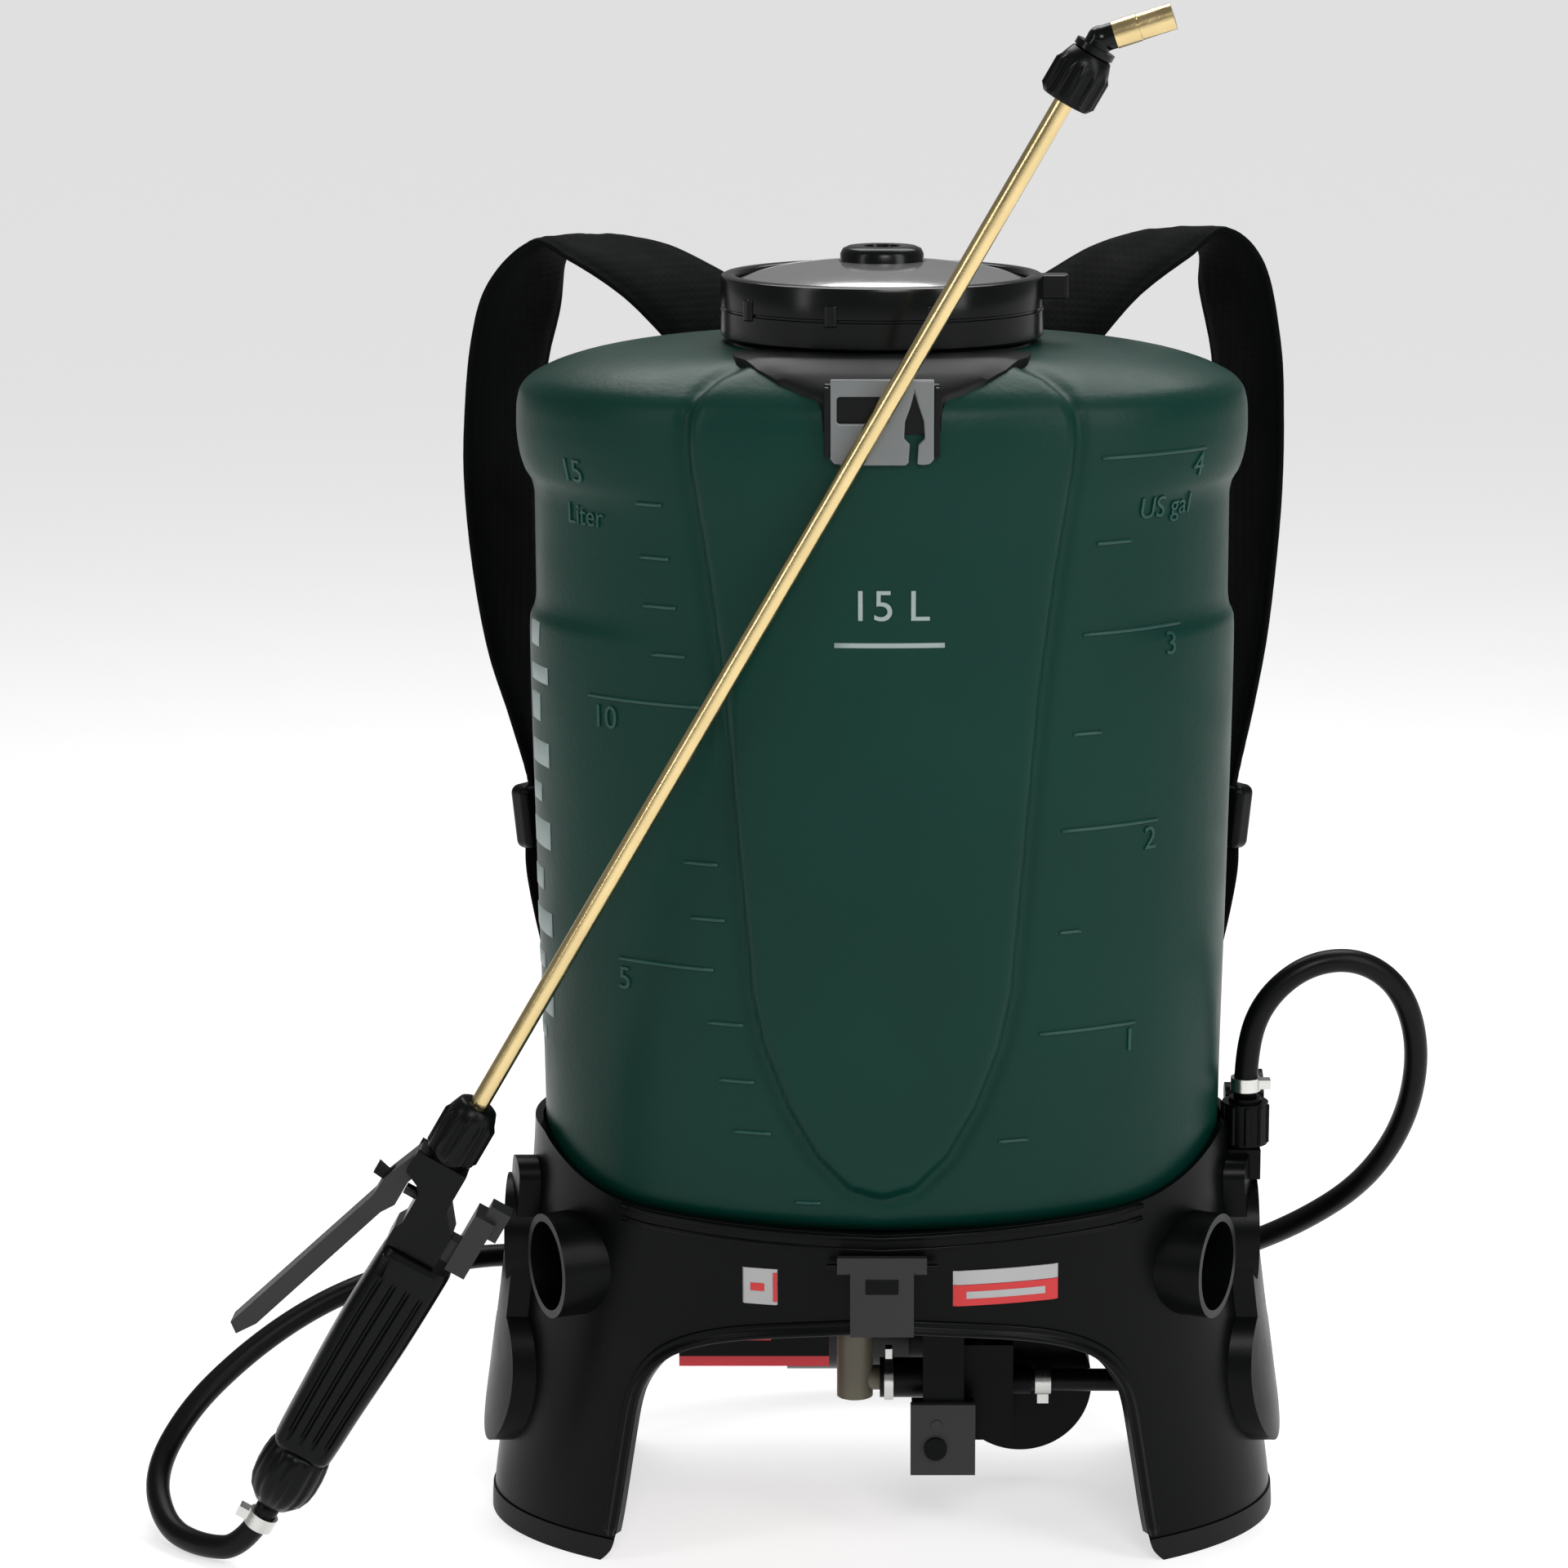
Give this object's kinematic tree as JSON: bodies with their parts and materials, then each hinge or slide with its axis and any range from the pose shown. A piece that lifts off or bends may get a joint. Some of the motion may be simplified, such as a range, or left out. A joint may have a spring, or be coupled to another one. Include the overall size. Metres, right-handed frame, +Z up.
{
  "type": "backpack sprayer",
  "caption": "Battery backpack sprayer: green oval tank on a black arched base with shoulder straps, screw lid, under-slung pump, hose, trigger gun and brass lance with a bent nozzle.",
  "frame": {"origin": "on the ground plane of the feet, under the axis of the tank's filler neck", "axes": "+Z up along the filler neck's axis, the tank's bulged front faces -Y, the wearer's back is at +Y, +X is to the right seen from the front"},
  "size_m": [0.5741, 0.3149, 0.6755],
  "materials": {
    "tank": "moulded green polyethylene, satin",
    "black_gloss": "glossy black moulding",
    "seal": "soft seal rubber",
    "strainer": "fine white mesh in a plastic frame",
    "base_plastic": "black moulded plastic, satin",
    "foot_rubber": "black rubber",
    "steel": "plain steel",
    "latch_plastic": "dark grey moulded plastic",
    "plates": "printed plate with no lettering",
    "battery_black": "black moulded plastic",
    "battery_red": "red moulded plastic",
    "motor_steel": "black painted can",
    "hose_rubber": "smooth black hose rubber",
    "clamp_metal": "bright hose clamp",
    "strap_fabric": "padded woven strap",
    "webbing": "ribbed polyester webbing",
    "pad_foam": "closed foam under knitted fabric",
    "gun_plastic": "black glass-filled plastic",
    "brass": "polished brass",
    "trigger_plastic": "dark grey plastic"
  },
  "bodies": {
    "root": {"tank": "tank", "neck_collar": "black_gloss", "filler_strainer": "strainer", "base_shell": "base_plastic", "feet": "foot_rubber", "side_sockets": "base_plastic", "side_brackets": "base_plastic", "latch_pin": "steel", "blank_plates": "plates", "battery_dock": "base_plastic", "pump_motor": "motor_steel", "pump_case": "base_plastic", "pump_bolts": "steel", "pump_head": "base_plastic", "pump_diaphragm": "seal", "pump_outlet_fitting": "base_plastic", "pump_hoses": "hose_rubber", "tank_outlet_fitting": "base_plastic", "suction_filter": "strainer", "control_box": "base_plastic", "control_cover": "latch_plastic", "outlet_pipe": "base_plastic", "hose_clamps": "clamp_metal", "regulator_body": "base_plastic", "hose": "hose_rubber", "strap_pads": "strap_fabric", "strap_webbing": "webbing", "strap_buckles": "base_plastic", "strap_anchors": "base_plastic", "back_pad": "pad_foam"},
    "lid": {"lid_dome": "black_gloss", "lid_gasket": "seal"},
    "lid_ring": {"lid_ring": "black_gloss"},
    "vent_knob": {"vent_knob": "black_gloss"},
    "battery": {"battery_pack": "battery_black", "battery_cover": "battery_red"},
    "battery_button": {"battery_button": "battery_red"},
    "power_button": {"power_button": "base_plastic"},
    "regulator_knob": {"regulator_knob": "base_plastic"},
    "outlet_nut": {"outlet_union_nut": "base_plastic"},
    "pump_shaft": {"pump_shaft": "steel"},
    "front_latch": {"front_latch": "latch_plastic"},
    "gun": {"gun_grip": "gun_plastic", "gun_valve_body": "gun_plastic", "valve_spring": "steel", "trigger_pin": "steel", "gun_pipe": "gun_plastic", "hose_gun_end": "hose_rubber", "gun_hose_clamp": "clamp_metal", "gun_hanger_clip": "trigger_plastic"},
    "trigger": {"trigger": "trigger_plastic"},
    "trigger_lock": {"trigger_lock": "gun_plastic"},
    "valve_pin": {"valve_pin": "brass"},
    "lance_nut": {"lance_nut": "gun_plastic"},
    "lance": {"lance_tube": "brass", "lance_elbow": "black_gloss", "nozzle_body": "brass"},
    "nozzle_nut": {"nozzle_nut": "gun_plastic"},
    "nozzle_tip": {"nozzle_tip": "brass"},
    "gun_tail_nut": {"gun_tail_nut": "gun_plastic"}
  },
  "joints": [
    {"name": "lid_lift", "type": "slide", "parent": "root", "child": "lid", "axis": [0, 0, 1], "range_m": [0, 0.15]},
    {"name": "lid_ring_turn", "type": "hinge", "parent": "lid", "child": "lid_ring", "pos_m": [0, 0, 0.54], "axis": [0, 0, 1], "range_deg": [0, 270]},
    {"name": "vent_turn", "type": "hinge", "parent": "lid", "child": "vent_knob", "pos_m": [0, 0, 0.56], "axis": [0, 0, 1], "range_deg": [0, 90]},
    {"name": "battery_release", "type": "slide", "parent": "root", "child": "battery", "axis": [0, 0, -1], "range_m": [0, 0.06]},
    {"name": "battery_button_press", "type": "slide", "parent": "battery", "child": "battery_button", "axis": [0, 1, 0], "range_m": [0, 0.0025], "stiffness_N_per_m": 400, "springref_m": -0.001},
    {"name": "power_press", "type": "slide", "parent": "root", "child": "power_button", "axis": [0, 1, 0], "range_m": [0, 0.002], "stiffness_N_per_m": 400, "springref_m": -0.001},
    {"name": "regulator_turn", "type": "hinge", "parent": "root", "child": "regulator_knob", "pos_m": [0.166, 0.022, 0.184], "axis": [1, 0, 0], "range_deg": [0, 270]},
    {"name": "outlet_nut_turn", "type": "hinge", "parent": "root", "child": "outlet_nut", "pos_m": [0.1615, -0.008, 0.18], "axis": [0, 0, 1], "range_deg": [0, 270]},
    {"name": "pump_spin", "type": "hinge", "parent": "root", "child": "pump_shaft", "pos_m": [0, 0.015, 0.08], "axis": [1, 0, 0], "continuous": true},
    {"name": "latch_swing", "type": "hinge", "parent": "root", "child": "front_latch", "pos_m": [0, -0.114, 0.147], "axis": [-1, 0, 0], "range_deg": [0, 50]},
    {"name": "gun_take_off", "type": "slide", "parent": "root", "child": "gun", "axis": [0, -1, 0], "range_m": [0, 0.08]},
    {"name": "trigger_pull", "type": "hinge", "parent": "gun", "child": "trigger", "pos_m": [-0.19386, -0.09784, 0.19015], "axis": [-0.0327, -0.9979, -0.0568], "range_deg": [0, 14], "stiffness_Nm_per_rad": 0.6, "springref_deg": -14.32},
    {"name": "trigger_lock_turn", "type": "hinge", "parent": "trigger", "child": "trigger_lock", "pos_m": [-0.21087, -0.09689, 0.18325], "axis": [-0.0327, -0.9979, -0.0568], "range_deg": [0, 15]},
    {"name": "valve_push", "type": "slide", "parent": "gun", "child": "valve_pin", "axis": [0.8667, 0, -0.4989], "range_m": [0, 0.0041]},
    {"name": "lance_nut_turn", "type": "hinge", "parent": "gun", "child": "lance_nut", "pos_m": [-0.17647, -0.09921, 0.20432], "axis": [0.4978, -0.0655, 0.8648], "range_deg": [0, 270]},
    {"name": "lance_turn", "type": "hinge", "parent": "gun", "child": "lance", "pos_m": [-0.1705, -0.1, 0.2147], "axis": [0.4978, -0.0655, 0.8648], "range_deg": [-90, 90]},
    {"name": "nozzle_nut_turn", "type": "hinge", "parent": "lance", "child": "nozzle_nut", "pos_m": [0.0779, -0.13268, 0.64624], "axis": [0.4978, -0.0655, 0.8648], "range_deg": [0, 270]},
    {"name": "nozzle_turn", "type": "hinge", "parent": "lance", "child": "nozzle_tip", "pos_m": [0.10529, -0.1356, 0.66715], "axis": [0.9463, -0.0901, 0.3104], "range_deg": [-180, 180]},
    {"name": "tail_nut_turn", "type": "hinge", "parent": "gun", "child": "gun_tail_nut", "pos_m": [-0.25728, -0.08755, 0.0459], "axis": [0.4978, -0.0655, 0.8648], "range_deg": [0, 180]}
  ],
  "couplings": [
    {"joint": "valve_push", "follows": "trigger_pull", "m_per_rad": 0.0165}
  ]
}
